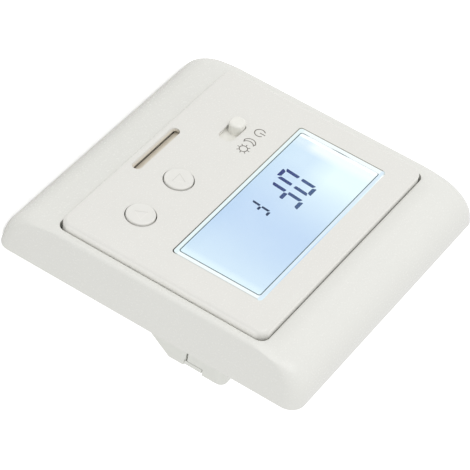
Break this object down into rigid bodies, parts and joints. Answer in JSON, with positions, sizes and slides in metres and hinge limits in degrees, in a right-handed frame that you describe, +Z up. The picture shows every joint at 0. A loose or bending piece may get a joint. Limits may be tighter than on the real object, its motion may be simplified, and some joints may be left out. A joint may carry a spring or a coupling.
{
  "type": "wall thermostat",
  "caption": "Square flush-mounted electronic wall thermostat with a back-lit display, round push keys, a slide switch for the mode, a release catch and a rear housing with screw terminals.",
  "frame": {"origin": "on the wall plane, midway between the two wall screw slots, at the centre of the square frame", "axes": "+X to the right seen from the front, +Y into the wall so that the front faces -Y, +Z up the wall"},
  "size_m": [0.086, 0.0401, 0.086],
  "materials": {
    "ivory_plastic": "satin",
    "key_plastic": "satin",
    "knob_plastic": "gloss",
    "clear_plastic": "clear",
    "display_glass": "gloss",
    "light_guide": "gloss",
    "white_plastic": "satin",
    "elastomer": "matte",
    "circuit_board": "satin",
    "black_plastic": "satin",
    "grey_plastic": "satin",
    "steel": "plated",
    "brass": "plain",
    "tan_nylon": "satin",
    "base_plastic": "satin",
    "film_case": "gloss",
    "can_aluminium": "sleeved",
    "blue_coating": "gloss",
    "brown_case": "gloss"
  },
  "bodies": {
    "base": {"outer_frame": "ivory_plastic", "front_panel": "ivory_plastic", "display_window": "clear_plastic", "lcd_front_glass": "display_glass", "lcd_rear_glass": "display_glass", "backlight_guide": "light_guide", "backlight_leds": "white_plastic", "contact_strip": "elastomer", "lcd_holder": "white_plastic", "display_board": "circuit_board", "up_key_switch": "black_plastic", "down_key_switch": "black_plastic", "slide_switch_shell": "steel", "controller_chip": "black_plastic", "room_sensor": "brown_case", "board_screws": "steel", "board_socket": "black_plastic", "board_header": "black_plastic", "mounting_plate": "base_plastic", "rear_housing": "base_plastic", "rear_cover": "base_plastic", "housing_screws": "steel", "power_board": "circuit_board", "relay": "black_plastic", "film_capacitor": "film_case", "smoothing_capacitor": "can_aluminium", "varistor": "blue_coating", "fuse": "brown_case", "terminal_block": "grey_plastic", "terminal_clamps": "brass", "terminal_screws": "steel"},
    "up_key": {"up_button": "key_plastic", "up_key_plunger": "black_plastic"},
    "down_key": {"down_button": "key_plastic", "down_key_plunger": "black_plastic"},
    "mode_switch": {"mode_slider": "knob_plastic", "slide_switch_lever": "black_plastic"},
    "catch": {"cover_catch": "tan_nylon"}
  },
  "joints": [
    {"name": "up_button_press", "type": "slide", "parent": "base", "child": "up_key", "axis": [0, 1, 0], "range_m": [0, 0.0005], "stiffness_N_per_m": 800, "springref_m": -0.0005},
    {"name": "down_button_press", "type": "slide", "parent": "base", "child": "down_key", "axis": [0, 1, 0], "range_m": [0, 0.0005], "stiffness_N_per_m": 800, "springref_m": -0.0005},
    {"name": "mode_slide", "type": "slide", "parent": "base", "child": "mode_switch", "axis": [1, 0, 0], "range_m": [0, 0.004]},
    {"name": "catch_release", "type": "slide", "parent": "base", "child": "catch", "axis": [0, 0, 1], "range_m": [0, 0.001], "stiffness_N_per_m": 600, "springref_m": -0.0005}
  ]
}
